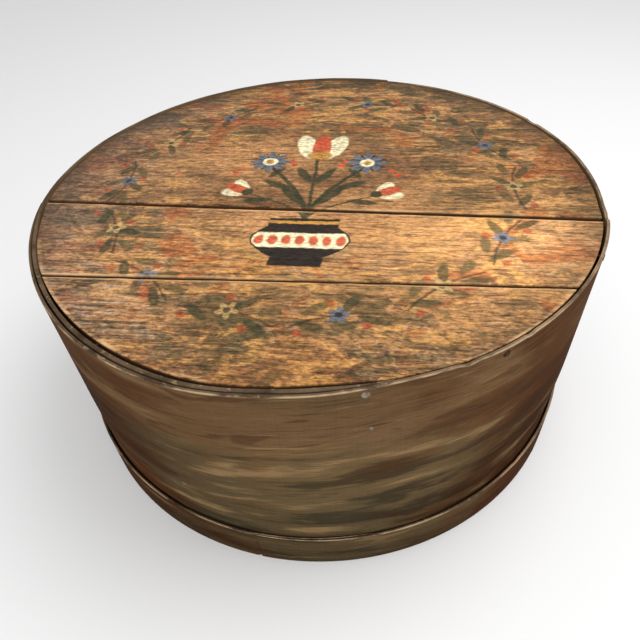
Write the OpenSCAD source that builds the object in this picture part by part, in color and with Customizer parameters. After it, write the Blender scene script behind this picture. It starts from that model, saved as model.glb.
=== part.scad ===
// Round bentwood box: a deep boarded cover stands inside the band of a shallow boarded base.
// Millimetres. The origin is the middle of the base's underside, +Z is up, and the boards lie along X.

/* [Cover hoop] */
// Outside diameter of the cover
cover_d = 400; // [340:1:460]
// Height of the hoop's strip
hoop_h = 167; // [120:1:220]
// Thickness of the hoop's strip
hoop_t = 2.4; // [1.6:0.1:3.4]
// Direction of the strip's outer end
lap_start = -161; // [-168:1:-152]
// Angle over which the strip is double
lap_angle = 90; // [70:1:110]
// Angle in which the strip steps in to pass under its outer end
lap_step_angle = 10; // [6:1:14]
// Space between the two layers of the lap
lap_gap = 0.4; // [0.2:0.1:0.8]

/* [Cover boards] */
// Thickness of the cover's boards
board_t = 13; // [10:0.5:18]
// Height of the rim above the boards
rim_proud = 1; // [0:0.5:3]
// Space between the boards' round edge and the hoop
board_fit = 0.3; // [0.2:0.1:0.8]
// Distance of the rear joint in front of the middle
rear_joint = 35; // [20:1:50]
// Turn of the rear joint
rear_joint_turn = -1.2; // [-3:0.1:3]
// Open width of the rear joint
rear_gap = 4.5; // [1:0.1:6]
// Distance of the front joint in front of the middle
front_joint = 112; // [95:1:125]
// Turn of the front joint
front_joint_turn = 1.2; // [-3:0.1:3]
// Open width of the front joint
front_gap = 2.8; // [1:0.1:6]

/* [Tongues] */
// Thickness of a tongue
tongue_t = 4.5; // [3:0.5:6]
// Length of a tongue inside its groove
tongue_hold = 6; // [4:0.5:9]
// Play of a tongue in its groove
tongue_play = 0.3; // [0.2:0.1:0.5]

/* [Base] */
// Thickness of the base's boards
base_board_t = 13; // [10:0.5:18]
// Distance of each base joint from the middle
base_joint = 62; // [45:1:80]
// Open width of the base joints
base_gap = 1; // [0.5:0.1:3]
// Height of the band
band_h = 33; // [28:1:45]
// Thickness of the band
band_t = 2.4; // [1.8:0.1:3.4]
// Play of the cover inside the band
band_play = 0.6; // [0.4:0.1:1.5]
// Space between the base boards' round edge and the band
base_fit = 0.3; // [0.2:0.1:0.8]
// Direction of the outer end of the band's strip
band_lap_start = -96; // [-120:1:-80]
// Angle of the band's slanting lap
band_lap_angle = 22; // [16:1:30]
// Thickness of the strip at its pared ends
band_tip = 0.6; // [0.4:0.1:0.8]
// Space between the two layers of the band's lap
band_lap_gap = 0.3; // [0.2:0.1:0.4]

/* [Nails and tacks] */
// Diameter of a nail
nail_d = 2; // [1.6:0.1:2.6]
// Length of a nail under its head
nail_l = 25; // [18:1:32]
// Length of a nail's point
nail_point = 3; // [2:0.5:5]
// Diameter of a nail's head
nail_head_d = 4.8; // [3.6:0.1:6]
// Thickness of a nail's head
nail_head_t = 1; // [0.6:0.1:1.4]
// Angle from one nail to the next
nail_pitch = 22.5; // [20:0.5:24]
// Direction of the middle of the front board's nails
front_nail_middle = -86.6; // [-92:0.1:-84]
// Angle from one nail of the base to the next
base_nail_pitch = 30; // [28:0.5:31]
// Diameter of a tack
tack_d = 1.2; // [1:0.1:1.6]
// Diameter of a tack's head
tack_head_d = 3; // [2.4:0.1:3.6]
// Thickness of a tack's head
tack_head_t = 0.6; // [0.4:0.1:0.8]
// Angle from a lap's ends to its outer rows of tacks
tack_inset = 3.5; // [2.5:0.1:5]
// Angle from the lap's outer end to its middle row of tacks
tack_middle = 52.6; // [40:0.1:60]
// Height of the lowest lap tacks above the band
tack_above_band = 9; // [6:1:16]
// Distance of the highest lap tacks below the boards
tack_below_boards = 20; // [12:1:30]
// Distance of the band's tacks from its rim and from the boards
band_tack_edge = 6; // [5:0.5:7]
// Space round a driven nail or tack
drive_play = 0.05; // [0.05:0.01:0.15]

/* [Hidden] */
$fn = 96;

// Colours of the woods and metals
board_colour = [0.62, 0.44, 0.28];
hoop_colour = [0.36, 0.27, 0.18];
base_colour = [0.55, 0.42, 0.29];
iron_colour = [0.42, 0.38, 0.34];

// A length that reaches past the whole box, a cut's overrun, a hair, and the rows and points that repeat
far = cover_d;
over = 1;
hair = 0.05;
front_nails = 4;
rear_nails = 8;
tack_rows = 4;
curve_steps = 10;

// The cover's circles and levels
cover_r = cover_d / 2;
lap_in = hoop_t + lap_gap;
lap_end = lap_start + lap_angle;
step_start = lap_start - lap_step_angle;
board_r = cover_r - hoop_t - board_fit;
rim_z = base_board_t + hoop_h;
board_z = rim_z - rim_proud - board_t;

// The band's circles
band_in_r = cover_r + band_play;
band_r = band_in_r + band_t;
base_board_r = band_in_r - base_fit;
band_lap_end = band_lap_start + band_lap_angle;
band_slit_turn = asin(band_lap_gap / band_r);

// Each joint between boards: distance in front of the middle, turn, open width
cover_rear_joint = [rear_joint, rear_joint_turn, rear_gap];
cover_front_joint = [front_joint, front_joint_turn, front_gap];
base_rear_joint = [-base_joint, 0, base_gap];
base_front_joint = [base_joint, 0, base_gap];

// Where the nails and tacks are driven: a direction and a height
cover_nail_z = board_z + board_t / 2;
side_nail = asin((rear_joint + front_joint) / 2 / board_r);
cover_nail_turns = concat(
    [for (i = [0 : front_nails - 1]) front_nail_middle + (i - (front_nails - 1) / 2) * nail_pitch],
    [for (i = [0 : rear_nails - 1]) 90 + (i - (rear_nails - 1) / 2) * nail_pitch],
    [-side_nail, side_nail - 180]
);
base_nail_z = base_board_t / 2;
base_nail_turns = concat(
    [0, 180],
    [for (i = [-2 : 2]) 90 + i * base_nail_pitch],
    [for (i = [-2 : 2]) -90 + i * base_nail_pitch]
);
lap_tack_turns = [lap_start + tack_inset, lap_start + tack_middle, lap_end - tack_inset];
lap_tack_low = band_h + tack_above_band;
lap_tack_high = board_z - tack_below_boards;
lap_tack_places = [
    for (turn = lap_tack_turns, i = [0 : tack_rows - 1])
        [turn, lap_tack_low + (lap_tack_high - lap_tack_low) * i / (tack_rows - 1)]
];
band_tack_places = [
    for (turn = [band_lap_start + tack_inset, band_lap_end - tack_inset],
         z = [base_board_t + band_tack_edge, band_h - band_tack_edge])
        [turn, z]
];

// A point on a circle in the plan
function around(r, turn) = [r * cos(turn), r * sin(turn)];

// How far the strip has stepped in, at a share of the way through the step
function stepped(share) = lap_in * (1 - cos(180 * share)) / 2;

// Radius of the slanting cut through the band, at a share of the way along the lap
function slanted(share) = band_r - band_tip - (band_t - 2 * band_tip) * share;

// A flat round plate
module disc(r, z, h) {
    translate([0, 0, z])
        cylinder(r = r, h = h);
}

// An upright ring
module ring(outer, inner, z, h) {
    difference() {
        disc(outer, z, h);
        disc(inner, z - over, h + 2 * over);
    }
}

// The space between two directions, as high as the box and more
module wedge(from, to) {
    parts = ceil((to - from) / 45);
    rays = [for (i = [0 : parts]) around(far, from + (to - from) * i / parts)];
    translate([0, 0, -over])
        linear_extrude(rim_z + 2 * over)
            polygon(concat([[0, 0]], rays));
}

// A rod that points outwards, between two distances from the middle
module spoke(turn, z, from, to, d) {
    rotate([0, 0, turn])
        translate([from, 0, z])
            rotate([0, 90, 0])
                cylinder(d = d, h = to - from);
}

// Holes for driven nails or tacks, open to the outside
module driven_holes(places, r, length, d) {
    for (place = places)
        spoke(place[0], place[1], r - length - drive_play, r + over, d + 2 * drive_play);
}

// A nail driven in from radius r, with its head on that radius
module nail(turn, z, r) {
    spoke(turn, z, r, r + nail_head_t, nail_head_d);
    spoke(turn, z, r - nail_l + nail_point, r + nail_head_t / 2, nail_d);
    rotate([0, 0, turn])
        translate([r - nail_l, 0, z])
            rotate([0, 90, 0])
                cylinder(d1 = nail_d / 4, d2 = nail_d, h = nail_point);
}

// A tack driven in from radius r and cut flush with the inside of the wood
module tack(turn, z, r, length) {
    spoke(turn, z, r, r + tack_head_t, tack_head_d);
    spoke(turn, z, r - length, r + tack_head_t / 2, tack_d);
}

// A bar along a joint, from one distance behind the joint to another
module joint_bar(joint, from, to, z, h) {
    translate([0, -joint[0], z])
        rotate([0, 0, joint[1]])
            translate([-far, from, 0])
                cube([2 * far, to - from, h]);
}

// One board of a round plate, with a groove in its front edge and a tongue on its rear edge
module board(front, rear, z, t) {
    tongue_z = z + (t - tongue_t) / 2;
    difference() {
        union() {
            intersection() {
                children();
                if (is_undef(front))
                    disc(far, z - over, t + 2 * over);
                else
                    joint_bar(front, front[2] / 2, far, z - over, t + 2 * over);
                if (is_undef(rear))
                    disc(far, z - over, t + 2 * over);
                else
                    joint_bar(rear, -far, -rear[2] / 2, z - over, t + 2 * over);
            }
            if (!is_undef(rear))
                intersection() {
                    children();
                    joint_bar(rear, -rear[2] / 2 - over, rear[2] / 2 + tongue_hold, tongue_z, tongue_t);
                }
        }
        if (!is_undef(front))
            joint_bar(front, front[2] / 2 - over, front[2] / 2 + tongue_hold + tongue_play,
                      tongue_z - tongue_play, tongue_t + 2 * tongue_play);
    }
}

// The cover's round plate: pared back where the hoop is double, drilled by the nails
module cover_plate() {
    relief = asin(over / board_r);
    difference() {
        disc(board_r, board_z, board_t);
        difference() {
            wedge(step_start - relief, lap_end + relief);
            disc(board_r - lap_in, board_z - over, board_t + 2 * over);
        }
        driven_holes([for (turn = cover_nail_turns) [turn, cover_nail_z]], cover_r, nail_l, nail_d);
    }
}

// The base's round plate, drilled by the nails
module base_plate() {
    difference() {
        disc(base_board_r, 0, base_board_t);
        driven_holes([for (turn = base_nail_turns) [turn, base_nail_z]], band_r, nail_l, nail_d);
    }
}

module top_rear_board() {
    color(board_colour)
        board(cover_rear_joint, undef, board_z, board_t)
            cover_plate();
}

module top_middle_board() {
    color(board_colour)
        board(cover_front_joint, cover_rear_joint, board_z, board_t)
            cover_plate();
}

module top_front_board() {
    color(board_colour)
        board(undef, cover_front_joint, board_z, board_t)
            cover_plate();
}

// One strip: a whole turn, a step inwards under its own outer end, then the inner layer of the lap
module cover_strip() {
    difference() {
        ring(cover_r, cover_r - hoop_t, base_board_t, hoop_h);
        wedge(step_start, lap_start);
    }
    intersection() {
        ring(cover_r - lap_in, cover_r - lap_in - hoop_t, base_board_t, hoop_h);
        wedge(lap_start, lap_end);
    }
    cover_step();
}

// The step runs on into the layers that it joins, a hair thinner than they are
module cover_step() {
    run_on = asin(over / cover_r);
    shares = [for (i = [1 : curve_steps]) (i - 0.5) / curve_steps];
    places = concat(
        [[step_start - run_on, 0]],
        [for (share = shares) [step_start + lap_step_angle * share, stepped(share)]],
        [[lap_start + run_on, lap_in]]
    );
    outer_side = [for (place = places) around(cover_r - place[1] - hair, place[0])];
    inner_side = [for (place = places) around(cover_r - place[1] - hoop_t + hair, place[0])];
    last = len(places) - 1;
    translate([0, 0, base_board_t])
        linear_extrude(hoop_h)
            polygon(concat(outer_side, [for (i = [last : -1 : 0]) inner_side[i]]));
}

module cover_hoop() {
    color(hoop_colour)
        difference() {
            cover_strip();
            driven_holes([for (turn = cover_nail_turns) [turn, cover_nail_z]], cover_r, nail_l, nail_d);
            driven_holes(lap_tack_places, cover_r, lap_in + hoop_t + over, tack_d);
        }
}

module cover_nails() {
    color(iron_colour)
        for (turn = cover_nail_turns)
            nail(turn, cover_nail_z, cover_r);
}

module lap_tacks() {
    color(iron_colour)
        for (place = lap_tack_places)
            tack(place[0], place[1], cover_r, lap_in + hoop_t);
}

module base_rear_board() {
    color(base_colour)
        board(base_rear_joint, undef, 0, base_board_t)
            base_plate();
}

module base_middle_board() {
    color(base_colour)
        board(base_front_joint, base_rear_joint, 0, base_board_t)
            base_plate();
}

module base_front_board() {
    color(base_colour)
        board(undef, base_front_joint, 0, base_board_t)
            base_plate();
}

// The slanting cut between the band's two pared ends
module band_slit() {
    shares = [for (i = [0 : curve_steps]) i / curve_steps];
    outer_side = [for (share = shares) around(slanted(share), band_lap_start + band_lap_angle * share)];
    inner_side = [
        for (i = [curve_steps : -1 : 0])
            around(slanted(shares[i]) - band_lap_gap, band_lap_start + band_lap_angle * shares[i])
    ];
    outer_mouth = [
        around(slanted(0) - band_lap_gap, band_lap_start - band_slit_turn),
        around(band_r + over, band_lap_start - band_slit_turn),
        around(band_r + over, band_lap_start)
    ];
    inner_mouth = [
        around(slanted(1), band_lap_end + band_slit_turn),
        around(band_in_r - over, band_lap_end + band_slit_turn),
        around(band_in_r - over, band_lap_end)
    ];
    translate([0, 0, -over])
        linear_extrude(band_h + 2 * over)
            polygon(concat(outer_mouth, outer_side, inner_mouth, inner_side));
}

module base_band() {
    color(hoop_colour)
        difference() {
            ring(band_r, band_in_r, 0, band_h);
            band_slit();
            driven_holes([for (turn = base_nail_turns) [turn, base_nail_z]], band_r, nail_l, nail_d);
            driven_holes(band_tack_places, band_r, band_t + over, tack_d);
        }
}

module base_nails() {
    color(iron_colour)
        for (turn = base_nail_turns)
            nail(turn, base_nail_z, band_r);
}

module band_tacks() {
    color(iron_colour)
        for (place = band_tack_places)
            tack(place[0], place[1], band_r, band_t);
}

top_rear_board();
top_middle_board();
top_front_board();
cover_hoop();
cover_nails();
lap_tacks();
base_rear_board();
base_middle_board();
base_front_board();
base_band();
base_nails();
band_tacks();
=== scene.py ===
from math import asin, atan2, cos, degrees, pi, radians, sin, tan
import random

import bpy
from mathutils import Matrix, Vector, noise


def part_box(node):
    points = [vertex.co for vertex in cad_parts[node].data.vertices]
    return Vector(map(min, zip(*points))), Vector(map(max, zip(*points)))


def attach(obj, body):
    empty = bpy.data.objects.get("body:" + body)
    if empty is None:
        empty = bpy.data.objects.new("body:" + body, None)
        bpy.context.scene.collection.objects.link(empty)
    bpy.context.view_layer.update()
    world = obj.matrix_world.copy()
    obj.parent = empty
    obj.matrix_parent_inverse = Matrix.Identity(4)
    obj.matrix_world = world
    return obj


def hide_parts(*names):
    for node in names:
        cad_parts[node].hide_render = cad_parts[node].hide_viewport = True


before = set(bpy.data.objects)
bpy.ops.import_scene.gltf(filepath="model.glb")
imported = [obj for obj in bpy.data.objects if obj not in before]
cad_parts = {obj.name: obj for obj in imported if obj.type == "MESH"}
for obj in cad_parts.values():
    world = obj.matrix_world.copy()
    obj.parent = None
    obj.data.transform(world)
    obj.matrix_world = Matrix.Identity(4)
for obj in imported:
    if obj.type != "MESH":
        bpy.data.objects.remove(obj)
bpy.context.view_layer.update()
mm = 0.001
fullTurn = 360
halfTurn = 180

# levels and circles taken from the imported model
hoopLow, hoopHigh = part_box("cover_hoop")
bandLow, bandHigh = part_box("base_band")
boardLow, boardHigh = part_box("top_rear_board")
coverRadius = hoopHigh.x
bandRadius = bandHigh.x
boardRadius = boardHigh.x
rimTop = hoopHigh.z
bandTop = bandHigh.z
print("frame loaded: rim at %.1f mm" % (rimTop / mm))


# camera, floor and light

shot = {
    "azimuth": 9.58,
    "elevation": 43.75,
    "roll": -4.07,
    "distance": 509.6 * mm,
    "target": (-2.2 * mm, 0, 39.2 * mm),
    "lens": 31.47,
    "sensor": 36,
    "nearest": 10 * mm,
}


def deselectAll():
    for item in bpy.context.selected_objects:
        item.select_set(False)


def placeCamera():
    lift = radians(shot["elevation"])
    roll = radians(shot["roll"])
    turn = Matrix.Rotation(radians(shot["azimuth"]), 3, "Z")
    right = turn @ Vector((1, 0, 0))
    up = turn @ Vector((0, sin(lift), cos(lift)))
    back = turn @ Vector((0, -cos(lift), sin(lift)))
    rolledRight = right * cos(roll) + up * sin(roll)
    rolledUp = up * cos(roll) - right * sin(roll)
    place = Matrix((rolledRight, rolledUp, back)).transposed().to_4x4()
    place.translation = turn @ Vector(shot["target"]) + back * shot["distance"]
    deselectAll()
    bpy.ops.object.camera_add()
    camera = bpy.context.object
    camera.name = "photoCamera"
    camera.matrix_world = place
    camera.data.lens = shot["lens"]
    camera.data.sensor_width = shot["sensor"]
    camera.data.clip_start = shot["nearest"]
    bpy.context.scene.camera = camera


studio = {
    "floorSize": 8,
    "floorColour": (0.86, 0.86, 0.86, 1),
    "floorRough": 0.9,
    "sky": (1, 1, 1, 1),
    "skyStrength": 0.7,
    # place, aim, width, watts
    "lamps": {
        "keyLamp": ((0.45, 0.15, 1.25), (0.05, -0.05, 0.15), 0.9, 7),
        "frontLamp": ((0.3, -1.5, 1.2), (0, 0, 0.08), 1.2, 12),
    },
}


def lightStudio():
    deselectAll()
    bpy.ops.mesh.primitive_plane_add(size=studio["floorSize"])
    floor = bpy.context.object
    floor.name = "floor"
    paint = Finish("paleFloor", Base_Color=studio["floorColour"], Roughness=studio["floorRough"])
    floor.data.materials.append(paint.material)
    for name, (place, aim, width, watts) in studio["lamps"].items():
        deselectAll()
        bpy.ops.object.light_add(type="AREA", location=place)
        lamp = bpy.context.object
        lamp.name = name
        lamp.data.shape = "DISK"
        lamp.data.size = width
        lamp.data.energy = watts
        lamp.rotation_euler = (Vector(aim) - Vector(place)).to_track_quat("-Z", "Y").to_euler()
    world = bpy.data.worlds.new("softSky")
    world.use_nodes = True
    sky = world.node_tree.nodes["Background"]
    sky.inputs["Color"].default_value = studio["sky"]
    sky.inputs["Strength"].default_value = studio["skyStrength"]
    scene = bpy.context.scene
    scene.world = world
    scene.view_settings.view_transform = "Standard"


# shader maths: a Wire is a socket that takes part in Python sums

class Wire:
    def __init__(self, finish, socket):
        self.finish = finish
        self.socket = socket

    def of(self, operation, *others):
        return self.finish.sum(operation, self, *others)

    def __add__(self, other):
        return self.of("ADD", other)

    def __sub__(self, other):
        return self.of("SUBTRACT", other)

    def __rsub__(self, other):
        return self.finish.sum("SUBTRACT", other, self)

    def __neg__(self):
        return 0 - self

    def __mul__(self, other):
        return self.of("MULTIPLY", other)

    __radd__ = __add__
    __rmul__ = __mul__

    def __pow__(self, other):
        return self.of("POWER", other)

    def __mod__(self, other):
        return self.of("FLOORED_MODULO", other)

    def __abs__(self):
        return self.of("ABSOLUTE")

    def __gt__(self, other):
        return self.of("GREATER_THAN", other)

    def most(self, other):
        return self.of("MAXIMUM", other)

    # smooth steps up and down between two values
    def rise(self, low, high):
        return self.finish.node("MapRange", {"interpolation_type": "SMOOTHSTEP"},
                                {"Value": self, "From Min": low, "From Max": high})

    def fall(self, low, high):
        return 1 - self.rise(low, high)


class Finish:
    def __init__(self, name, **fixed):
        self.material = bpy.data.materials.new(name)
        self.material.use_nodes = True
        self.tree = self.material.node_tree
        self.shader = self.tree.nodes["Principled BSDF"]
        self.set(fixed)

    def plug(self, place, part):
        if isinstance(part, Wire):
            self.tree.links.new(part.socket, place)
        else:
            place.default_value = part

    def set(self, parts):
        for name, part in parts.items():
            self.plug(self.shader.inputs[name.replace("_", " ")], part)

    # every node: its type, its settings, then its sockets' values or links
    def node(self, kind, settings=(), inputs=(), output=0):
        made = self.tree.nodes.new("ShaderNode" + kind)
        for key, value in dict(settings).items():
            setattr(made, key, value)
        for key, part in dict(inputs).items():
            self.plug(made.inputs[key], part)
        return Wire(self, made.outputs[output])

    def sum(self, operation, *parts):
        return self.node("Math", {"operation": operation}, dict(enumerate(parts)))

    def split(self, kind):
        source = self.node("TexCoord", output=kind)
        apart = self.node("SeparateXYZ", inputs={0: source}).socket.node
        return [Wire(self, way) for way in apart.outputs]

    def grain(self, x, y, z, detail=4, rough=0.55, warp=0):
        where = self.node("CombineXYZ", inputs={0: x, 1: y, 2: z})
        return self.node("TexNoise", inputs={
            "Vector": where, "Scale": 1, "Detail": detail, "Roughness": rough, "Distortion": warp})

    def mix(self, share, under, over):
        under, over = (part if isinstance(part, Wire) else (*part, 1) for part in (under, over))
        return self.node("Mix", {"data_type": "RGBA"}, {0: share, 6: under, 7: over}, output=2)

    # coats over a colour, each a share and the name of its tone
    def coat(self, colour, tones, coats):
        for share, name in coats:
            colour = self.mix(share, colour, tones[name])
        return colour

    def shade(self, colour, amount):
        return self.node("VectorMath", {"operation": "SCALE"}, {0: colour, "Scale": amount})

    def use(self, height, depth, **varying):
        bump = self.node("Bump", inputs={"Height": height, "Distance": depth, "Strength": 1})
        self.set(dict(varying, Normal=bump))
        return self.material


# finish of the bent strips: thin wood under streaks of old wash

stripTones = {
    "brown": (0.118, 0.067, 0.031),
    "olive": (0.080, 0.056, 0.027),
    "tan": (0.310, 0.190, 0.088),
    "russet": (0.066, 0.023, 0.008),
    "dab": (0.058, 0.027, 0.014),
    "soot": (0.024, 0.021, 0.013),
    "endGrain": (0.105, 0.070, 0.042),
    "paleEdgeAndGlint": (0.480, 0.340, 0.205),
    "bareInside": (0.220, 0.135, 0.070),
}
# patterns: cycles per metre round and up, offset, detail, roughness, warp
stripGrain = {
    "wash": (10, 26, 0, 4, 0.55, 0.5),
    "stroke": (10, 62, 2, 4, 0.55, 0.3),
    "streak": (16, 310, 4, 6, 0.72, 0),
    "tuft": (26, 120, 6, 1, 0.55, 0.6),
    "fibre": (80, 1500, 8, 3, 0.70, 0),
    "hatch": (850, 16, 10, 2, 0.55, 0),
    "rub": (34, 200, 12, 6, 0.70, 0),
    "glint": (260, 260, 14, 2, 0.55, 0),
}
# directions, from above, of the left side, painted redder and darker, and of the front, given a painted
# highlight halfway up
stripSides = {"left": (-0.985, -0.17), "frontHighlight": (0.34, -0.94)}


# the strip's own map gives the share through its thickness and the height below its upper edge
def stripFinish(name, radius, low, high, seed, depth, paintedLightAndShade):
    tone = stripTones
    paint = Finish(name, IOR=1.45, Specular_IOR_Level=0.01)
    through, drop, _ = paint.split("UV")
    x, y, z = paint.split("Object")
    level = (z - low) * (1 / (high - low))

    # places round the strip, as shares of its radius
    def towards(toX, toY):
        return (x * toX + y * toY) * (1 / radius)

    def ply(around, up, offset, *look):
        return paint.grain(x * around, y * around, z * up + seed + offset, *look)

    wash, stroke, streak, tuft, fibre, hatch, rub, glint = (ply(*spec) for spec in stripGrain.values())
    across = towards(1, 0)
    ahead = towards(0, -1)
    front = ahead.rise(0.2, 0.8)
    upper = level.rise(0.55, 0.80)

    # the sides are redder and darker, with a ragged start: a reddish wash with painted shade where the wall
    # turns away to the left and right
    stray = (wash + stroke - 1) * 1.3
    left = (towards(*stripSides["left"]) + stray).rise(0.30, 0.84)
    right = (across + stray).rise(0.22, 0.78)
    side = left.most(right)
    # a painted highlight: paler tan halfway up the front
    frontHighlight = abs(level - 0.5).fall(0.10, 0.42) * towards(*stripSides["frontHighlight"]).rise(0.86, 0.99)
    brushed = stroke + (streak - 0.5) * 0.30
    colour = paint.mix((wash * 0.7 + upper * 0.3).rise(0.30, 0.56), tone["olive"], tone["brown"])
    colour = paint.coat(colour, tone, [
        (side * (0.78 + wash * 0.5 - upper * 0.34), "russet"),
        (frontHighlight * 0.14, "tan"),
        (tuft.rise(0.60, 0.66) * upper * 0.65, "dab"),
        ((1 - brushed).rise(0.54, 0.66) * (1 - side * 0.85) * (0.55 - upper * 0.35), "tan"),
        (brushed.rise(0.52, 0.62) * (1 - upper * 0.75) * (1 - side * 0.4) * 0.72, "soot"),
        (streak.rise(0.57, 0.68) * (1 - side * 0.6) * 0.45, "tan"),
        ((1 - streak).rise(0.56, 0.66) * 0.55, "soot"),
    ])
    # painted shade low on the right and halfway up at the front left; a negative share paints light there
    # instead
    lowRight = right * (1 - level).rise(0.30, 0.80)
    frontLeft = (-across).rise(0.2, 0.5) * ahead.rise(0.3, 0.7) * abs(level - 0.5).fall(0.10, 0.35)
    dull = 1 - (lowRight + frontLeft * 0.6) * paintedLightAndShade
    colour = paint.shade(colour, (0.44 + fibre * 0.92 + hatch * 0.20) * depth * dull)

    inner = paint.shade(paint.mix(streak, tone["bareInside"], tone["olive"]), 0.75 + fibre * 0.5)
    colour = paint.mix(through.rise(0.55, 0.80), colour, inner)
    # the upper edge is dark, with its two corners rubbed pale here and there
    edge = drop.rise(-0.9 * mm, -0.4 * mm)
    colour = paint.mix(edge, colour, paint.shade(tone["endGrain"], (rub * 3.4 - 0.7) * (1 + right * 0.9)))
    outerCorner = drop.rise(-1.1 * mm, -0.5 * mm) * through.fall(0.10, 0.30) * front
    innerCorner = drop.rise(-0.7 * mm, -0.25 * mm) * through.rise(0.52, 0.72) * right
    pale = outerCorner.most(innerCorner) * rub.rise(0.40, 0.58)
    colour = paint.mix(pale * 0.85, colour, paint.shade(tone["paleEdgeAndGlint"], 0.4 + rub))
    # painted glints: pale highlight specks along the front of the upper edge
    colour = paint.mix(edge * glint.rise(0.58, 0.70) * front * 0.35, colour, tone["paleEdgeAndGlint"])

    rough = 0.62 + wash * 0.16 + fibre * 0.12
    height = fibre * 0.5 + hatch * 0.20 + streak
    return paint.use(height, 0.3 * mm, Base_Color=colour, Roughness=rough)


# finish of the painted top: pine boards, thin colour washes, a folk flower spray and a leafy ring

topTones = {
    "walnut": (0.190, 0.088, 0.036),
    "honey": (0.520, 0.255, 0.098),
    "straw": (0.760, 0.470, 0.230),
    "umber": (0.040, 0.024, 0.013),
    "rust": (0.380, 0.105, 0.028),
    "ochre": (0.600, 0.300, 0.085),
    "moss": (0.105, 0.076, 0.030),
    "smoke": (0.172, 0.116, 0.096),
    "scratch": (0.560, 0.440, 0.340),
    "black": (0.008, 0.008, 0.009),
    "cream": (0.780, 0.690, 0.430),
    "gold": (0.480, 0.235, 0.045),
    "red": (0.500, 0.080, 0.027),
    "slate": (0.115, 0.130, 0.155),
    "leaf": (0.038, 0.042, 0.018),
    "dullGold": (0.440, 0.280, 0.110),
    "berry": (0.330, 0.062, 0.024),
}
# patterns: cycles per metre along and across the boards, offset, detail, roughness, warp
boardGrain = {
    "fibre": (34, 460, 0, 6, 0.74, 0),
    "band": (2.2, 60, 3, 3, 0.55, 0.9),
    "tint": (9, 26, 5, 4, 0.55, 0),
    "fleck": (230, 540, 7, 4, 0.75, 0),
}
brushGrain = {
    "brush": (30, 120, 2.5, 6, 0.70, 1.5),
    "cloud": (15, 20, 8.5, 4, 0.55, 1.2),
    "glow": (19, 26, 15.5, 4, 0.55, 1.2),
    "scribble": (48, 130, 31.5, 3, 0.55, 2.0),
    "smudge": (34, 52, 47.5, 4, 0.60, 1.6),
    "swirl": (17, 46, 61.5, 3, 0.60, 2.4),
    "shakeX": (150, 150, 4.5, 2, 0.55, 0),
    "shakeY": (150, 150, 24.5, 2, 0.55, 0),
}
# pale places on the boards, and the gleam, a painted pool of light: centre, half width, half length and
# softness in millimetres
palePlaces = {
    "right": ((95, -72), 130, 54, 45),
    "left": ((-100, 12), 80, 38, 30),
    "gleam": ((150, -78), 75, 38, 32),
}
# half width, half length and softness of a knot's rusty halo and dark heart
knots = {"places": [(-94, 53), (-22, -101)], "halo": (15, 9, 6), "heart": (4.5, 3, 1.5)}

# the spray stands in a low urn; sizes in millimetres, mirrored left and right
spray = {
    # tone, centre, half width, half length, turn
    "leaves": [
        ("leaf", (13, -17), 4.2, 15, -38), ("leaf", (27, -2), 3.8, 13, -62),
        ("leaf", (8, 12), 3.6, 13, -30), ("leaf", (30, 16), 3.0, 9, 30),
        ("leaf", (38, -24), 3.2, 11, -96),
    ],
    "petals": [
        ("cream", (11, 57), 8.5, 20, -16), ("red", (0, 57), 7.5, 20, 0),
        ("gold", (0, 43), 10, 6.5, 0), ("cream", (53, -5), 5.2, 9.5, -28),
        ("cream", (57, -14), 5.2, 9.5, -92), ("red", (55, -9), 5.0, 10, -60),
        ("leaf", (47, -13), 4.6, 4.2, -60),
    ],
    # tone, centre, radius
    "berries": [
        ("red", (21, 33), 2.6), ("red", (18, 27), 2.3), ("gold", (25, -34), 2.2), ("red", (62, 14), 2.8),
        ("red", (57, 20), 2.4), ("gold", (15, 84), 2.2), ("gold", (0, 88), 2.4),
    ],
    # the straight stem's top, half width and lean, then each bowed stem's reach, top and half width
    "stem": (44, 1.3, 0.022),
    "bowedStems": [(35, 22, 2.0), (50, -14, 1.7)],
    "bow": 1.7,
    "rosette": {"centre": (38, 32), "petals": 8, "reach": 16, "waist": 0.20, "veins": (6, 14)},
}
# levels and half widths of the urn
urn = {
    "foot": -98, "ankle": -90, "belly": -70, "neck": -54, "lipFoot": -57, "lip": -46, "root": -47,
    "footHalf": 17, "bellyHalf": 33, "lipHalf": 24, "curve": 0.04761,
    "sash": (-79, -63), "sashInset": 1.5, "lipLine": (-52.5, -49),
    "bead": (3.2, 5.2), "beadLevel": -71, "beadStep": 9,
}
# each sprig of the ring is drawn along and out from its own middle
ring = {
    "sprigs": 14, "radius": 143, "reach": 29, "bow": 0.006, "twig": 0.9,
    # centre, turn, tone
    "leaves": [
        ((-17, 6), -58, "leaf"), ((-12, -7), -118, "moss"), ((2, 8), -36, "moss"),
        ((8, -8), -138, "leaf"), ((20, 8), -62, "leaf"), ((25, -5), -112, "moss"),
    ],
    "leafSize": (3.2, 9.5),
    "berries": [(-24, 11), (-3, -10), (14, 11)],
    "berry": (2.7, 2.7),
    "petals": 5, "bloom": 7.2, "waist": 0.22,
}
brushEdge = 0.8


def blot(x, y, centre, wide, tall, soft=0.9, turn=0):
    c = cos(radians(turn))
    s = sin(radians(turn))
    dx = x - centre[0]
    dy = y - centre[1]
    across = (dx * c + dy * s) * (1 / wide)
    along = (dy * c - dx * s) * (1 / tall)
    away = (across * across + along * along) ** 0.5
    edge = soft / min(wide, tall)
    return away.fall(1 - edge, 1 + edge)


def between(value, low, high, soft=brushEdge):
    return value.rise(low - soft, low + soft) * value.fall(high - soft, high + soft)


def within(past):
    return past.fall(-brushEdge, brushEdge)


# a bloom: the distance from its middle, the ripple of its petals, and its mask
def blossom(dx, dy, petals, reach, waist):
    away = (dx * dx + dy * dy) ** 0.5
    ripple = (dy.of("ARCTAN2", dx) * petals).of("COSINE")
    return away, ripple, within(away - reach * (1 - waist + waist * ripple))


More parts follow.
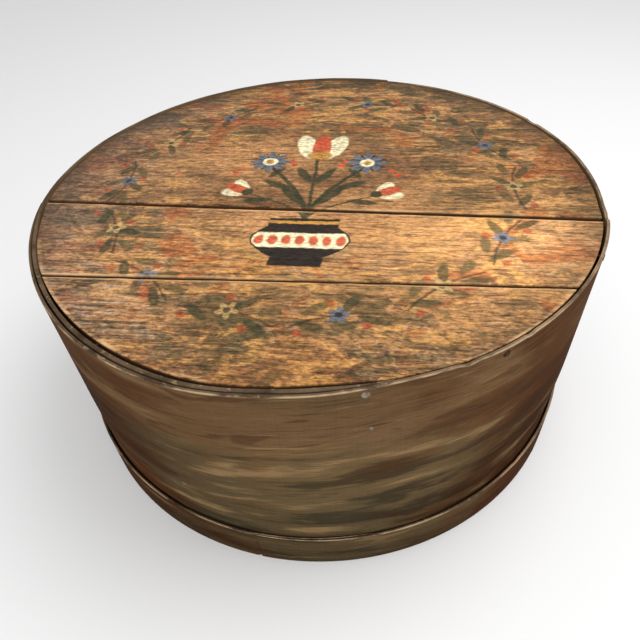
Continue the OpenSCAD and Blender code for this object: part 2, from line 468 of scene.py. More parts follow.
def paintSpray(paint, colour, x, y, worn):
    thin, firm = 0.9, 0.96
    half = abs(x)
    top, width, lean = spray["stem"]
    stem = between(x + y * lean, -width, width) * between(y, urn["root"], top)
    for reach, top, width in spray["bowedStems"]:
        climb = (y - urn["root"]).most(0) * (1 / (top - urn["root"]))
        bowed = half - climb ** spray["bow"] * reach
        stem = stem.most(between(bowed, -width, width) * between(y, urn["root"], top))
    marks = [(stem, "leaf", thin)]
    for kind, share in (("leaves", thin), ("petals", firm)):
        for name, centre, wide, tall, turn in spray[kind]:
            marks.append((blot(half, y, centre, wide, tall, turn=turn), name, share))
    for name, centre, size in spray["berries"]:
        marks.append((blot(half, y, centre, size, size), name, firm))

    rosette = spray["rosette"]
    away, ripple, petals = blossom(half - rosette["centre"][0], y - rosette["centre"][1],
                                   rosette["petals"], rosette["reach"], rosette["waist"])
    marks += [
        (petals, "slate", firm),
        (between(ripple, -1.3, -0.86, 0.06) * between(away, *rosette["veins"]), "black", 0.7),
        (away.fall(5.2, 6.6), "cream", firm),
        (away.fall(2.6, 3.6), "gold", firm),
    ]

    # urn: foot, belly and lip, with a beaded sash
    rise = y - urn["belly"]
    belly = urn["bellyHalf"] - rise * rise * urn["curve"]
    body = between(y, urn["ankle"], urn["neck"]) * within(half - belly)
    foot = between(y, urn["foot"], urn["ankle"] + 1) * within(half - urn["footHalf"])
    lip = between(y, urn["lipFoot"], urn["lip"]) * within(half - urn["lipHalf"])
    sash = between(y, *urn["sash"]) * within(half - belly + urn["sashInset"])
    step = urn["beadStep"]
    beadX = (half + step / 2).of("MODULO", step) - step / 2
    marks += [
        (body.most(foot).most(lip), "black", firm),
        (sash, "cream", firm),
        (blot(beadX, y, (0, urn["beadLevel"]), *urn["bead"]) * sash, "red", firm),
        (between(y, *urn["lipLine"], 0.5) * lip, "gold", firm),
    ]
    return paint.coat(colour, topTones, [(mask * worn * share, name) for mask, name, share in marks])


def paintRing(paint, colour, x, y, away, worn):
    step = 2 * pi / ring["sprigs"]
    turn = y.of("ARCTAN2", x) * (1 / step)
    sprig = turn.of("ROUND")
    local = (turn - sprig) * step
    side = away * local.of("SINE")
    out = away * local.of("COSINE") - ring["radius"]
    odd = abs(sprig.of("MODULO", 2))

    twig = between(out - side * side * ring["bow"], -ring["twig"], ring["twig"])
    marks = [(twig * between(abs(side), -1, ring["reach"]), "umber", 0.8)]
    for centre, turned, name in ring["leaves"]:
        marks.append((blot(side, out, centre, *ring["leafSize"], turn=turned), name, 0.85))
    for centre in ring["berries"]:
        marks.append((blot(side, out, centre, *ring["berry"]), "berry", 0.85))
    fromMiddle, _, bloom = blossom(side, out, ring["petals"], ring["bloom"], ring["waist"])
    marks += [
        (bloom * odd, "slate", 0.95),
        (bloom * (1 - odd), "dullGold", 0.9),
        (fromMiddle.fall(1.8, 2.8), "black", 0.85),
    ]
    return paint.coat(colour, topTones, [(mask * worn * share, name) for mask, name, share in marks])


def topFinish(joints):
    tone = topTones
    paint = Finish("paintedBoards", IOR=1.48, Specular_IOR_Level=0.12)
    xm, ym, zm = paint.split("Object")
    x = xm * (1 / mm)
    y = ym * (1 / mm)
    away = (x * x + y * y) ** 0.5
    # each board has its own grain, and is paler along its joints, as rubbed wood and painted highlights on
    # the edges
    board = 0
    nearJoint = 0
    light = 0.98
    for joint in joints:
        past = y + joint["front"] / mm - x * tan(radians(joint["turn"]))
        halfGap = joint["gap"] / mm / 2
        board = board + (past > 0)
        light = light + (past > 0) * joint["paler"]
        nearJoint = nearJoint + abs(past).fall(halfGap + 0.4, halfGap + 2.0)
    seed = board * 13.7

    def pattern(start, along, across, offset, *look):
        return paint.grain(xm * along, ym * across, start + offset, *look)

    fibre, band, tint, fleck = (pattern(seed, *spec) for spec in boardGrain.values())
    brush, cloud, glow, scribble, smudge, swirl, shakeX, shakeY = (
        pattern(0, *spec) for spec in brushGrain.values())
    ringLine = abs(band * 9 % 1 - 0.5)
    ragged = brush - 0.5
    cloudy = cloud + ragged * 0.14
    glowing = glow + ragged * 0.14
    swirled = swirl + ragged * 0.16

    # the right of the middle is the palest, the left and the rear are dull
    pale = blot(x, y, *palePlaces["right"])
    dry = pale.most(blot(x, y, *palePlaces["left"]))
    front = (-y).rise(60, 150)
    corner = (-x).rise(30, 120) * (-y).rise(80, 150)
    # washes are stronger outside the middle, and rust is weaker at the very front
    field = away.rise(58, 108)
    rusty = field * (1 - (-y).rise(125, 165) * 0.75)

    colour = paint.mix((tint + dry * 0.22).rise(0.38, 0.72), tone["walnut"], tone["honey"])
    coats = [
        (ringLine.rise(0.32, 0.48) * 0.42, "umber"),
        ((1 - brush).rise(0.57, 0.70) * (0.25 + pale * 0.5), "straw"),
    ]
    for place in knots["places"]:
        coats.append((blot(x, y, place, *knots["halo"]) * 0.6, "rust"))
        coats.append((blot(x, y, place, *knots["heart"]) * 0.9, "umber"))
    coats += [
        ((1 - cloudy).rise(0.51, 0.59) * field * (0.60 - dry * 0.40), "moss"),
        (glowing.rise(0.52, 0.60) * field * (1 - brush).rise(0.36, 0.62) * 0.62, "ochre"),
        ((1 - swirled).rise(0.53, 0.59) * field * (0.80 - dry * 0.60), "moss"),
        (swirled.rise(0.53, 0.60) * field * 0.70, "ochre"),
        (cloudy.rise(0.54, 0.61) * rusty * (0.20 + brush * 0.80), "rust"),
        (between(cloudy, 0.53, 0.55, 0.02) * field * brush.rise(0.4, 0.6) * 0.35, "straw"),
        ((-x).rise(70, 190) * (0.12 + brush * 0.7), "smoke"),
        (scribble.rise(0.64, 0.70) * 0.55, "umber"),
        (brush.rise(0.56, 0.68) * 0.55, "umber"),
        (smudge.rise(0.56, 0.66) * away.rise(90, 160) * (0.25 + brush * 0.6), "umber"),
        (fibre.rise(0.53, 0.60) * 0.66, "umber"),
        ((1 - fibre).rise(0.58, 0.66) * 0.42, "straw"),
        # whitish flecks at the front left: scratches and a painted sheen on the grain
        (corner * (1 - fibre).rise(0.50, 0.60) * 0.6, "scratch"),
        ((away + ragged * 50).rise(165, 202) * (0.60 - front * 0.45), "umber"),
    ]
    colour = paint.coat(colour, tone, coats)

    # the painter's hand shakes, and the paint is rubbed thin
    shake = (shakeX - 0.5) * 2.6
    handX = x + shake
    handY = y + (shakeY - 0.5) * 2.6
    worn = 1 - fibre.rise(0.56, 0.72) * 0.16
    colour = paintRing(paint, colour, handX, handY, away + shake, worn * 0.9)
    colour = paintSpray(paint, colour, handX, handY, worn)

    # light and dark fibres over all, then pale wood with painted highlights along the joints, and a painted
    # highlight along the front edge
    # a painted pool of light brightens the right end of the middle board
    light = light + blot(x, y, *palePlaces["gleam"]) * 0.58
    crisp = 0.88 - pale * 0.30
    weave = 0.60 - crisp * 0.50 + fibre * 0.44 + brush * 0.40 + fleck.rise(0.36, 0.64) * crisp
    colour = paint.shade(colour, weave * light)
    # a painted highlight along the front of the round edge
    arris = (away + (-x).rise(-20, 60) * 2.8).rise(194.6, 196.2)
    colour = paint.coat(colour, tone, [
        (nearJoint * tint.rise(0.36, 0.60) * 0.75, "straw"),
        (arris * front * (1 - brush).rise(0.40, 0.60) * 0.7, "straw"),
    ])
    # bare wood down the edges and under the boards, its darkness partly painted shade in the gaps round and
    # between the boards
    below = zm.fall(boardHigh.z - 1.6 * mm, boardHigh.z - 0.8 * mm)
    bareWoodAndGapShade = paint.shade(paint.mix(fibre, tone["umber"], tone["walnut"]), 0.8)
    colour = paint.mix(below, colour, bareWoodAndGapShade)
    rough = 0.42 + fibre * 0.18 + tint * 0.12 + below * 0.2
    height = -fibre * 1.1 - brush * 0.5 - ringLine.rise(0.35, 0.5) * 0.2
    return paint.use(height, 0.25 * mm, Base_Color=colour, Roughness=rough)


# finish of the plain base boards

baseTones = {"pine": (0.26, 0.165, 0.090), "dust": (0.34, 0.26, 0.18), "umber": (0.075, 0.046, 0.026)}


def baseFinish(joints):
    tone = baseTones
    paint = Finish("bareBoards", IOR=1.45)
    x, y, _ = paint.split("Object")
    board = 0
    for joint in joints:
        board = board + (y > -joint["front"])
    fibre = paint.grain(x * 30, y * 800, board * 9.1, rough=0.65)
    band = paint.grain(x * 2, y * 60, board * 5.3, detail=3, warp=0.8)
    stain = paint.grain(x * 11, y * 11, 3.3)
    colour = paint.mix(stain.rise(0.35, 0.7), tone["pine"], tone["dust"])
    colour = paint.coat(colour, tone, [
        (abs(band * 8 % 1 - 0.5).rise(0.30, 0.5) * 0.5, "umber"),
        (fibre.rise(0.5, 0.8) * 0.6, "umber"),
    ])
    return paint.use(fibre + stain * 0.3, 0.3 * mm, Base_Color=colour, Roughness=0.66 + fibre * 0.2)


# iron heads that show: rusted or rubbed bare

ironTones = {
    "rusted": {"dark": (0.040, 0.021, 0.011), "light": (0.150, 0.082, 0.044), "metal": 0.0, "gloss": 0.02},
    "rubbed": {"dark": (0.095, 0.070, 0.050), "light": (0.27, 0.22, 0.165), "metal": 0.4, "gloss": 0.15},
}
ironGrain = {"pit": 900, "stain": 260}


def ironFinish(name, kind):
    tone = ironTones[kind]
    paint = Finish(name, Specular_IOR_Level=tone["gloss"])
    place = paint.split("Object")
    pit = paint.grain(*(way * ironGrain["pit"] for way in place), detail=3)
    stain = paint.grain(*(way * ironGrain["stain"] for way in place), detail=2)
    colour = paint.mix(stain.rise(0.36, 0.64), tone["dark"], tone["light"])
    metal = stain.rise(0.4, 0.7) * tone["metal"]
    return paint.use(pit, 0.12 * mm, Base_Color=colour, Roughness=0.42 + pit * 0.3, Metallic=metal)


# modelling helpers

def newPiece(name, add, **settings):
    deselectAll()
    add(**settings)
    bpy.ops.object.transform_apply(location=True, rotation=False, scale=False)
    piece = bpy.context.object
    piece.name = name
    piece.data.name = name
    return piece


def editMode():
    bpy.ops.object.mode_set(mode="EDIT")


def objectMode():
    bpy.ops.object.mode_set(mode="OBJECT")


def selectAll():
    bpy.ops.mesh.select_all(action="SELECT")


def selectNothing(kind):
    editMode()
    bpy.ops.mesh.select_mode(type=kind)
    bpy.ops.mesh.select_all(action="DESELECT")
    objectMode()


def pickFaces(piece, test):
    selectNothing("FACE")
    for face in piece.data.polygons:
        face.select = test(face)
    editMode()


def pickEdges(piece, test):
    selectNothing("EDGE")
    points = piece.data.vertices
    for edge in piece.data.edges:
        edge.select = test(points[edge.vertices[0]].co, points[edge.vertices[1]].co)
    editMode()


def cut(place, facing, **settings):
    selectAll()
    bpy.ops.mesh.bisect(plane_co=place, plane_no=facing, **settings)


def extrude(way):
    bpy.ops.mesh.extrude_region_move(TRANSFORM_OT_translate={"value": way})


def closeMesh(apart, fill=False):
    selectAll()
    bpy.ops.mesh.remove_doubles(threshold=apart)
    if fill:
        selectAll()
        bpy.ops.mesh.fill_holes(sides=0)
    selectAll()
    bpy.ops.mesh.normals_make_consistent(inside=False)
    objectMode()


def smooth(angle):
    bpy.ops.object.shade_smooth_by_angle(angle=radians(angle))


def hand(piece, body, node, slot, *materials):
    for material in materials:
        piece.data.materials.append(material)
    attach(piece, body)
    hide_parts(node)


# the strips: a flat sheet of faces is wrapped round the box as a closed, soft-edged strip
# directions and runs are in degrees

coverHoop = {
    "thick": 2.4 * mm,
    "lapStart": -161,
    "lapAngle": 90,
    "stepAngle": 10,
    "lapGap": 0.6 * mm,
    # the lap starts thin and grows over a run; past its end it is planed down over another
    "lapThick": 2.6 * mm,
    "lapThin": 0.5,
    "lapGrow": 36,
    "planeRun": 6,
    # the feathered inner end: run, thickness, and the share of a thickness it lies out
    "featherAngle": 12,
    "featherThick": 0.6 * mm,
    "featherOut": 0.35,
    # run and thickness of the outer end's tip, and the most of its room that is gap
    "outerFeather": 9,
    "outerTip": 0.15 * mm,
    "tipGap": 0.3,
    # the under layer's rim is lower, and its share through the thickness starts here
    "underDrop": 0.4 * mm,
    "underShare": 0.4,
    "soft": 0.55 * mm,
    "rows": 20,
    # share of the thickness taken off the inside of the upper edge
    "paring": 0.20,
    "wave": 0.5 * mm,
    "wavePitch": 2.2,
    "waveClimb": 9,
    # true to its circle this far above the band, and fully wavy this much higher
    "trueAbove": 4 * mm,
    "loosening": 50 * mm,
    "rimWander": 0.5 * mm,
    "rimPitch": 5,
    # direction, depth and half width of the chips in the rim
    "chips": [
        (-59.5, 1.2 * mm, 1.6), (-48, 0.9 * mm, 1.1), (-127, 0.5 * mm, 2.2),
        (31, 0.9 * mm, 1.8), (-10.5, 1.4 * mm, 1.2),
    ],
    # the rim sinks from the second direction to the first, and steps up again there
    "backStep": (76, 30, 0.9 * mm),
    "stepWidth": 0.2,
    # where it stands off or is drawn in: direction, run before and after it, size,
    # and the share of it that the boards inside follow
    "swells": [(-13, 34, 7, 2.2 * mm, 0.75), (-104, 52, 18, 3.6 * mm, 0.3), (-70, 18, 20, -2.5 * mm, 1)],
    # the hoop's share paints shade low on its right and halfway up at the front left
    "wash": {"seed": 1.5, "depth": 1.08, "paintedLightAndShade": 0.36},
}
baseBand = {
    "thick": bandRadius - coverRadius - 0.6 * mm,
    "lapStart": -96,
    "lapAngle": 22,
    "tip": 0.6 * mm,
    "lapGap": 0.3 * mm,
    "underDrop": 0.3 * mm,
    "soft": 0.6 * mm,
    "rows": 6,
    "paring": 0.3,
    "rimWander": 0.5 * mm,
    "rimPitch": 4,
    "chips": [(-40, 0.9 * mm, 1.4), (-112, 0.7 * mm, 1.2), (140, 0.8 * mm, 2)],
    # the band's negative share paints light on its right and at its front left
    "wash": {"seed": 41.5, "depth": 0.82, "paintedLightAndShade": -0.18},
    # the wash is that of the lower part of a strip this many times as tall
    "washHigh": 2.6,
}
mergeStrip = 0.004 * mm
# the most of a strip's thickness that one soft corner takes
cornerShare = 0.42
seeds = {"hoopRim": 3, "underRim": 7, "bandRim": 9, "boardEdge": 12, "hoopWave": 20}


def wander(turn, pitch, seed):
    spot = radians(turn)
    return noise.noise(Vector((cos(spot) * pitch, sin(spot) * pitch, seed)))


# degrees from a spot to a direction, the short way round
def offFrom(spot, turn):
    return (turn - spot + halfTurn) % fullTurn - halfTurn


def chipped(turn, chips):
    return sum(depth * max(0, 1 - (offFrom(spot, turn) / half) ** 2) for spot, depth, half in chips)


def ease(share):
    share = min(1, max(0, share))
    return share * share * (3 - 2 * share)


# one section of a strip: depth in from the outer face, and height; the first point comes again at the end
def stripSection(thick, foot, top, soft, rows, pared):
    soft = min(soft, (thick - pared) * cornerShare)
    quarter = [radians(turn) for turn in (30, 60, 90)]
    fromZero = [0] + quarter
    low, high = foot + soft, top - soft
    corner = thick - pared - soft
    section = [(0, low + (high - low) * row / rows) for row in range(rows + 1)]
    section += [(soft - soft * cos(turn), high + soft * sin(turn)) for turn in quarter]
    section += [(corner + soft * sin(turn), high + soft * cos(turn)) for turn in fromZero]
    section += [(thick, high + (low - high) * row / rows) for row in range(1, rows + 1)]
    section += [(thick - soft + soft * cos(turn), low - soft * sin(turn)) for turn in quarter]
    section += [(soft - soft * sin(turn), low - soft * cos(turn)) for turn in fromZero]
    return section


# a section's points hold radius, height, share through the thickness and height below the rim
def wrapStrip(name, turns, start, sectionAt):
    rounds = len(turns) - 1
    sections = [sectionAt(turn) for turn in turns]
    steps = len(sections[0]) - 1
    piece = newPiece(name, bpy.ops.mesh.primitive_grid_add, size=1,
                     x_subdivisions=rounds, y_subdivisions=steps)
    sheet = piece.data
    where = []
    for point in sheet.vertices:
        column = round((point.co.x + 0.5) * rounds)
        row = round((point.co.y + 0.5) * steps)
        out, height, through, drop = sections[column][row]
        turn = radians(start + turns[column])
        where.append((through, drop))
        point.co = (out * cos(turn), out * sin(turn), height)
    lay = sheet.uv_layers[0].data
    for corner in sheet.loops:
        lay[corner.index].uv = where[corner.vertex_index]
    editMode()
    closeMesh(mergeStrip, fill=True)
    smooth(40)
    return piece


# runs along a strip at which it has a section: each degree, and more at its chips
def stations(spec, first, last, marks=()):
    places = [(spot, half) for spot, _, half in spec["chips"]]
    turns = {float(step) for step in range(first, last + 1)}
    for spot, half in places + list(marks):
        run = (spot - spec["lapStart"]) % fullTurn
        turns |= {round(run + half * share, 3) for share in (-1, -0.5, 0, 0.5, 1)}
    return sorted(turn for turn in turns if first <= turn <= last)


# how far the hoop's under layer has stepped in, for a run along the strip
def stepShare(run):
    return ease((run - fullTurn + coverHoop["stepAngle"]) / coverHoop["stepAngle"])


# share of the lap's full thickness, for a run from its start
def lapShare(run):
    thin = coverHoop["lapThin"]
    return thin + (1 - thin) * ease(run / coverHoop["lapGrow"])


def swell(turn, ofBoards=False):
    out = 0
    for spot, before, after, size, follow in coverHoop["swells"]:
        off = offFrom(spot, turn)
        share = follow if ofBoards else 1
        out += size * share * ease(1 - abs(off) / (after if off > 0 else before))
    return out


# how far the hoop's face lies outside its true circle; inside the band it is true
def hoopBulge(turn, height):
    spec = coverHoop
    free = ease((height - bandTop - spec["trueAbove"]) / spec["loosening"])
    seed = seeds["hoopWave"] + height * spec["waveClimb"]
    return (spec["wave"] * wander(turn, spec["wavePitch"], seed) + swell(turn)) * free


# the hoop's thickness, and how far it lies inside its circle, for a run along the strip
def hoopLayer(run):
    spec = coverHoop
    lapIn = spec["lapThick"] + spec["lapGap"]
    planed = max(1 - ease((run - spec["lapAngle"]) / spec["planeRun"]), stepShare(run))
    lapThick = spec["lapThick"] * (1 if run > halfTurn else lapShare(run))
    thick = spec["thick"] + (lapThick - spec["thick"]) * planed
    stepIn = lapIn * lapShare(run - fullTurn) * stepShare(run)
    # the outer end fills the step of the layer below it, and lies on it at its tip
    if run < 0:
        room = lapIn * lapShare(run) * stepShare(run + fullTurn)
        room -= min(spec["lapGap"], room * spec["tipGap"])
        thick = min(max(spec["outerTip"], room), lapThick)
        stepIn = min(0, room - thick)
    feather = ease((run - fullTurn - spec["lapAngle"]) / spec["featherAngle"] + 1)
    thick += (spec["featherThick"] - thick) * feather
    return thick, stepIn - spec["thick"] * spec["featherOut"] * feather


def makeCoverHoop():
    spec = coverHoop
    stepTurn, stepEnd, stepFall = spec["backStep"]

    def rimAt(turn, under):
        seed = seeds["underRim" if under else "hoopRim"]
        rim = rimTop + spec["rimWander"] * wander(turn, spec["rimPitch"], seed)
        rim -= chipped(turn, spec["chips"])
        rim -= spec["underDrop"] * under
        if stepEnd < turn < stepTurn:
            rim -= stepFall * (turn - stepEnd) / (stepTurn - stepEnd)
        return rim

    def sectionAt(run):
        turn = spec["lapStart"] + run
        under = run > fullTurn
        rim = rimAt(turn, under)
        thick, stepIn = hoopLayer(run)
        first = spec["underShare"] if under else 0
        pared = 0 if under else spec["paring"] * thick
        section = []
        for depth, height in stripSection(thick, hoopLow.z, rim, spec["soft"], spec["rows"], pared):
            out = coverRadius + hoopBulge(turn, height) - stepIn - depth
            section.append((out, height, first + (1 - first) * depth / thick, height - rim))
        return section

    last = fullTurn + spec["lapAngle"]
    turns = stations(spec, -spec["outerFeather"], last, [(stepTurn, spec["stepWidth"])])
    piece = wrapStrip("coverHoop", turns, spec["lapStart"], sectionAt)
    finish = stripFinish("washedHoop", coverRadius, bandTop, rimTop, **spec["wash"])
    hand(piece, "cover", "cover_hoop", "bent_strip", finish)
    return finish


def makeBaseBand():
    spec = baseBand
    slope = spec["thick"] - 2 * spec["tip"]

    def sectionAt(run):
        turn = spec["lapStart"] + run
        under = run >= fullTurn
        outer = 0
        thick = spec["thick"]
        if run < spec["lapAngle"]:
            thick = spec["tip"] + slope * run / spec["lapAngle"]
        if under:
            outer = spec["tip"] + spec["lapGap"] + slope * (run - fullTurn) / spec["lapAngle"]
            thick = spec["thick"] - outer
        rim = bandTop + spec["rimWander"] * wander(turn, spec["rimPitch"], seeds["bandRim"])
        rim -= chipped(turn, spec["chips"])
        rim -= spec["underDrop"] * under
        face = bandRadius - outer
        section = stripSection(thick, bandLow.z, rim, spec["soft"], spec["rows"], spec["paring"] * thick)
        return [(face - depth, height, depth / thick, height - rim) for depth, height in section]

    turns = stations(spec, 0, fullTurn + spec["lapAngle"])
    piece = wrapStrip("baseBand", turns, spec["lapStart"], sectionAt)
    washTop = spec["washHigh"] * bandTop
    finish = stripFinish("washedBand", bandRadius, bandLow.z, washTop, **spec["wash"])
    hand(piece, "base", "base_band", "base_strip", finish)
    return finish


# the boards: a round plate is cut along its joints, tongued and grooved, eased and gently cupped

# each joint: distance in front of the middle, turn in degrees, gap,
# and for the painted boards how much paler the board behind it is
rearJoint = {"front": 35 * mm, "turn": -1.2, "gap": 4.5 * mm, "paler": -0.20}
frontJoint = {"front": 112 * mm, "turn": 1.2, "gap": 2.8 * mm, "paler": 0.16}
baseRearJoint = {"front": -62 * mm, "turn": 0, "gap": 1 * mm}
baseFrontJoint = {"front": 62 * mm, "turn": 0, "gap": 1 * mm}
boardWork = {
    "sides": 360,
    "tongueThick": 4.5 * mm,
    "tongueHold": 6 * mm,
    "tonguePlay": 0.3 * mm,
    # wear of the joint edges: size, cycles per metre along them and from joint to joint,
    # and cuts in each edge longer than this
    "edgeWander": 0.4 * mm,
    "edgePitch": (90, 50),
    "edgeCuts": 90,
    "longEdge": 20 * mm,
    "ease": 0.8 * mm,
    "easeSteps": 3,
    "easeAngle": 50,
    # a grid of cuts, a little off the middle across the boards, lets the face dip
    "gridStep": 12 * mm,
    "gridShift": 0.37,
    "cup": 0.35 * mm,
    "cupPitch": (9, 24),
    # the round edge: how far it has shrunk, its wander, and the room left for the hoop's lap
    "shrink": 0.6 * mm,
    "roundWander": 0.35 * mm,
    "roundPitch": 3,
    "lapRelief": 3 * mm,
    # direction, half width in degrees and depth of the front edge that has shrunk back
    "drawnIn": (-82, 20, 1.7 * mm),
}
touch = 0.02 * mm
mergeBoard = 0.005 * mm


def jointPlane(joint, beyond):
    turn = radians(joint["turn"])
    facing = Vector((-sin(turn), cos(turn), 0))
    return Vector((0, -joint["front"], 0)) + facing * beyond, facing


def fitToHoop(piece, radius):
    work = boardWork
    spot, half, depth = work["drawnIn"]
    for point in piece.data.vertices:
        turn = degrees(atan2(point.co.y, point.co.x))
        run = (turn - coverHoop["lapStart"] - halfTurn) % fullTurn + halfTurn
        lapLeft = fullTurn + coverHoop["lapAngle"] - run
        relief = work["lapRelief"] * stepShare(run + 1) * ease(lapLeft / coverHoop["featherAngle"])
        relief *= lapShare(run - fullTurn)
        relief += depth * ease(1 - abs(offFrom(spot, turn)) / half)
        stray = wander(turn, work["roundPitch"], seeds["boardEdge"])
        shrink = work["shrink"] + work["roundWander"] * stray - swell(turn, ofBoards=True)
        pared = 1 - (relief + shrink) / radius
        point.co.x *= pared
        point.co.y *= pared


def cutJoints(front, rear):
    editMode()
    if front:
        cut(*jointPlane(front, front["gap"] / 2), use_fill=True, clear_inner=True)
    if rear:
        cut(*jointPlane(rear, -rear["gap"] / 2), use_fill=True, clear_outer=True)
    objectMode()


# the middle of a joint face moves rearwards: a tongue on a rear face, a groove on a front face
def pushEdge(piece, joint, way, middle, half, reach):
    facing = jointPlane(joint, 0)[1]

    def onFace(face):
        return face.normal.dot(facing * way) > 0.999 and abs(face.center.z - middle) < half

    editMode()
    for side in (-half, half):
        cut((0, 0, middle + side), (0, 0, 1))
    objectMode()
    pickFaces(piece, onFace)
    extrude(facing * reach)
    objectMode()


# joint edges wander a little, as worn edges do
def wearEdge(piece, joint, beyond, low, high):
    work = boardWork
    place, facing = jointPlane(joint, beyond * joint["gap"] / 2)

    def onJoint(spot):
        return abs((spot - place).dot(facing)) < touch

    def longEdge(a, b):
        onFace = min(abs(a.z - low), abs(a.z - high)) < touch and abs(a.z - b.z) < touch
        return onFace and onJoint(a) and onJoint(b) and (a - b).length > work["longEdge"]

    pickEdges(piece, longEdge)
    bpy.ops.mesh.subdivide(number_cuts=work["edgeCuts"])
    objectMode()
    along, apart = work["edgePitch"]
    for point in piece.data.vertices:
        if onJoint(point.co) and point.co.z > high - touch:
            stray = noise.noise(Vector((point.co.x * along, joint["front"] * apart, beyond)))
            point.co += facing * work["edgeWander"] * stray


def easeEdges(piece):
    bevel = piece.modifiers.new("easedEdges", "BEVEL")
    bevel.width = boardWork["ease"]
    bevel.segments = boardWork["easeSteps"]
    bevel.limit_method = "ANGLE"
    bevel.angle_limit = radians(boardWork["easeAngle"])
    bpy.ops.object.modifier_apply(modifier=bevel.name)


def gridBoard(radius):
    pitch = boardWork["gridStep"]
    count = int(radius / pitch)
    editMode()
    for step in range(-count, count + 1):
        cut((step * pitch, 0, 0), (1, 0, 0))
        cut((0, (step + boardWork["gridShift"]) * pitch, 0), (0, 1, 0))
    closeMesh(mergeBoard)


def cupBoard(piece, high, seed):
    work = boardWork
    along, across = work["cupPitch"]
    for point in piece.data.vertices:
        if point.co.z > high - work["ease"] * 1.05:
            dip = noise.noise(Vector((point.co.x * along, point.co.y * across, seed)))
            point.co.z += work["cup"] * (dip - 0.5)


# a board with a seed for its dips is fitted to the hoop
def makeBoard(name, node, body, slot, finish, radius, front, rear, seed=None):
    work = boardWork
    low, high = (corner.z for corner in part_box(node))
    middle = (low + high) / 2
    piece = newPiece(name, bpy.ops.mesh.primitive_cylinder_add, vertices=work["sides"], radius=radius,
                     depth=high - low, location=(0, 0, middle))
    if seed:
        fitToHoop(piece, radius)
    cutJoints(front, rear)
    tongue, play, hold = work["tongueThick"] / 2, work["tonguePlay"], work["tongueHold"]
    if rear:
        pushEdge(piece, rear, 1, middle, tongue, rear["gap"] + hold)
    if front:
        pushEdge(piece, front, -1, middle, tongue + play, hold + play)
    for joint, beyond in ((front, 1), (rear, -1)):
        if joint:
            wearEdge(piece, joint, beyond, low, high)
    easeEdges(piece)
    gridBoard(radius)
    if seed:
        cupBoard(piece, high, seed)
    smooth(32)
    hand(piece, body, node, slot, finish)


def makeBoards():
    paint = topFinish((rearJoint, frontJoint))
    for name, node, front, rear, seed in (
            ("topRearBoard", "top_rear_board", rearJoint, None, 12),
            ("topMiddleBoard", "top_middle_board", frontJoint, rearJoint, 14),
            ("topFrontBoard", "top_front_board", None, frontJoint, 13)):
        makeBoard(name, node, "cover", "top_boards", paint, boardRadius, front, rear, seed)

    bare = baseFinish((baseRearJoint, baseFrontJoint))
    left, right = (corner.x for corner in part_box("base_middle_board"))
    baseRadius = (right - left) / 2
    for name, node, front, rear in (
            ("baseRearBoard", "base_rear_board", baseRearJoint, None),
            ("baseMiddleBoard", "base_middle_board", baseFrontJoint, baseRearJoint),
            ("baseFrontBoard", "base_front_board", None, baseFrontJoint)):
        makeBoard(name, node, "base", "base_boards", bare, baseRadius, front, rear)


# nails and tacks: one is modelled, then copied to each place

nailWork = {
    "shank": 1.0 * mm, "length": 25 * mm, "point": 3 * mm,
    "head": 2.4 * mm, "headThick": 1.0 * mm, "sides": 18,
    # how deep a head is driven in, and the place in the strips' map that gives its wash
    "sunk": 0.55 * mm, "washSpot": (0, -60 * mm), "slot": "iron_nails",
}
tackWork = {
    "shank": 0.6 * mm, "length": 5.2 * mm, "point": 0,
    "head": 1.5 * mm, "headThick": 0.6 * mm, "sides": 14,
    "sunk": 0.3 * mm, "washSpot": (0, -60 * mm), "slot": "iron_tacks",
}
bandTackWork = dict(tackWork, length=2.4 * mm)
# the head's straight side as a share of its thickness, then each ring of its crown:
# how far in as a share of the head's radius, and how far up as a share of its thickness
headSide = 0.6
headCrown = [(0.121, 0.26), (0.187, 0.11), (0.275, 0.03)]
pointShare = 0.25


def modelNail(name, work):
    side = work["headThick"] * headSide
    piece = newPiece(name, bpy.ops.mesh.primitive_cylinder_add, vertices=work["sides"], radius=work["head"],
                     depth=side, location=(0, 0, side / 2))
    pickFaces(piece, lambda face: face.normal.z > 0.9)
    for inset, climb in headCrown:
        bpy.ops.mesh.inset(thickness=work["head"] * inset)
        bpy.ops.transform.translate(value=(0, 0, work["headThick"] * climb))
    objectMode()
    # shank and point
    pickFaces(piece, lambda face: face.normal.z < -0.9)
    bpy.ops.mesh.inset(thickness=work["head"] - work["shank"])
    extrude((0, 0, work["point"] - work["length"]))
    if work["point"]:
        extrude((0, 0, -work["point"]))
        bpy.ops.transform.resize(value=(pointShare, pointShare, 1))
    objectMode()
    smooth(38)
    return piece


# each place is a direction and a height; bare gives the finish of the heads that aren't washed over
def drive(name, node, work, places, body, faceAt, wash, seed, bare):
    draw = random.Random(seed)
    pattern = modelNail(name, work)
    for corner in pattern.data.uv_layers[0].data:
        corner.uv = work["washSpot"]
    outward = Matrix.Rotation(pi / 2, 4, "Y")
    copies = []
    for count, (turn, height) in enumerate(places):
        deselectAll()
        pattern.select_set(True)
        bpy.context.view_layer.objects.active = pattern
        bpy.ops.object.duplicate(linked=False)
        copy = bpy.context.object
        around = Matrix.Rotation(radians(turn), 4, "Z")
        seat = Matrix.Translation((faceAt(turn, height) - work["sunk"], 0, height))
        spin = Matrix.Rotation(draw.uniform(0, 2 * pi), 4, "Z")
        copy.data.transform(around @ seat @ outward @ spin)
        copy.data.materials.append(bare.get(count, wash))
        copies.append(copy)
    deselectAll()
    for copy in copies:
        copy.select_set(True)
    bpy.context.view_layer.objects.active = copies[0]
    bpy.ops.object.join()
    piece = bpy.context.object
    bpy.data.objects.remove(pattern)
    piece.name = name
    piece.data.name = name
    hand(piece, body, node, work["slot"])


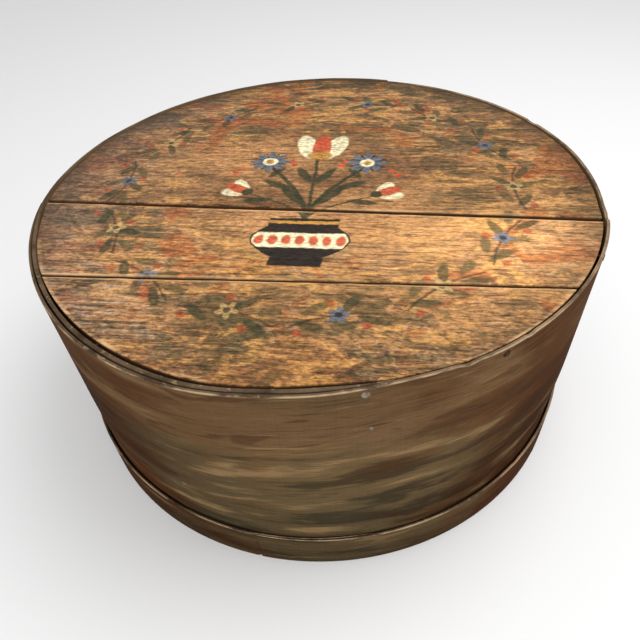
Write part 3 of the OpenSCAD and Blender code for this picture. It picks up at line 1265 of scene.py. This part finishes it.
nailPlaces = {
    # each row: direction of its middle, count, pitch
    "coverRows": [(-86.6, 4, 22.5), (90, 8, 22.5)],
    "baseRows": [(90, 5, 30), (-90, 5, 30)],
    # one nail at each end of the middle board
    "side": degrees(asin((rearJoint["front"] + frontJoint["front"]) / 2 / boardRadius)),
    # the cover's heads lie above the middle of its boards
    "lift": 3 * mm,
}
tackPlaces = {
    "inset": 3.5,
    "middle": 52.6,
    "rows": 4,
    "aboveBand": 9 * mm,
    "belowBoards": 20 * mm,
    "bandEdge": 6 * mm,
}


def hoopFace(turn, height):
    return coverRadius + hoopBulge(turn, height)


def bandFace(turn, height):
    return bandRadius


def inRows(rows):
    return [middle + (step - (count - 1) / 2) * pitch
            for middle, count, pitch in rows for step in range(count)]


def eachPlace(turns, heights):
    return [(turn, height) for turn in turns for height in heights]


def coverNailPlaces():
    spec = nailPlaces
    turns = inRows(spec["coverRows"]) + [-spec["side"], spec["side"] - halfTurn]
    return eachPlace(turns, [(boardLow.z + boardHigh.z) / 2 + spec["lift"]])


def baseNailPlaces():
    return eachPlace([0, halfTurn] + inRows(nailPlaces["baseRows"]), [(bandLow.z + hoopLow.z) / 2])


def lapTackPlaces():
    spec = tackPlaces
    start = coverHoop["lapStart"]
    end = start + coverHoop["lapAngle"]
    lowest = bandTop + spec["aboveBand"]
    climb = boardLow.z - spec["belowBoards"] - lowest
    heights = [lowest + climb * step / (spec["rows"] - 1) for step in range(spec["rows"])]
    return eachPlace((start + spec["inset"], start + spec["middle"], end - spec["inset"]), heights)


def bandTackPlaces():
    spec = tackPlaces
    start = baseBand["lapStart"]
    end = start + baseBand["lapAngle"]
    heights = (hoopLow.z + spec["bandEdge"], bandTop - spec["bandEdge"])
    return eachPlace((start + spec["inset"], end - spec["inset"]), heights)


def driveIron(hoopWash, bandWash):
    rubbed = ironFinish("rubbedIron", "rubbed")
    rusted = ironFinish("rustedIron", "rusted")
    cover = ("cover", hoopFace, hoopWash)
    base = ("base", bandFace, bandWash)
    drive("coverNails", "cover_nails", nailWork, coverNailPlaces(), *cover, 5, {2: rubbed, 3: rusted})
    drive("baseNails", "base_nails", nailWork, baseNailPlaces(), *base, 6, {})
    drive("lapTacks", "lap_tacks", tackWork, lapTackPlaces(), *cover, 7, {5: rubbed, 11: rubbed})
    drive("bandTacks", "band_tacks", bandTackWork, bandTackPlaces(), *base, 8, {})


placeCamera()
lightStudio()
print("camera and studio set")
makeBoards()
print("boards cut and painted")
hoopWash = makeCoverHoop()
bandWash = makeBaseBand()
print("strips bent")
driveIron(hoopWash, bandWash)
print("nails and tacks driven")
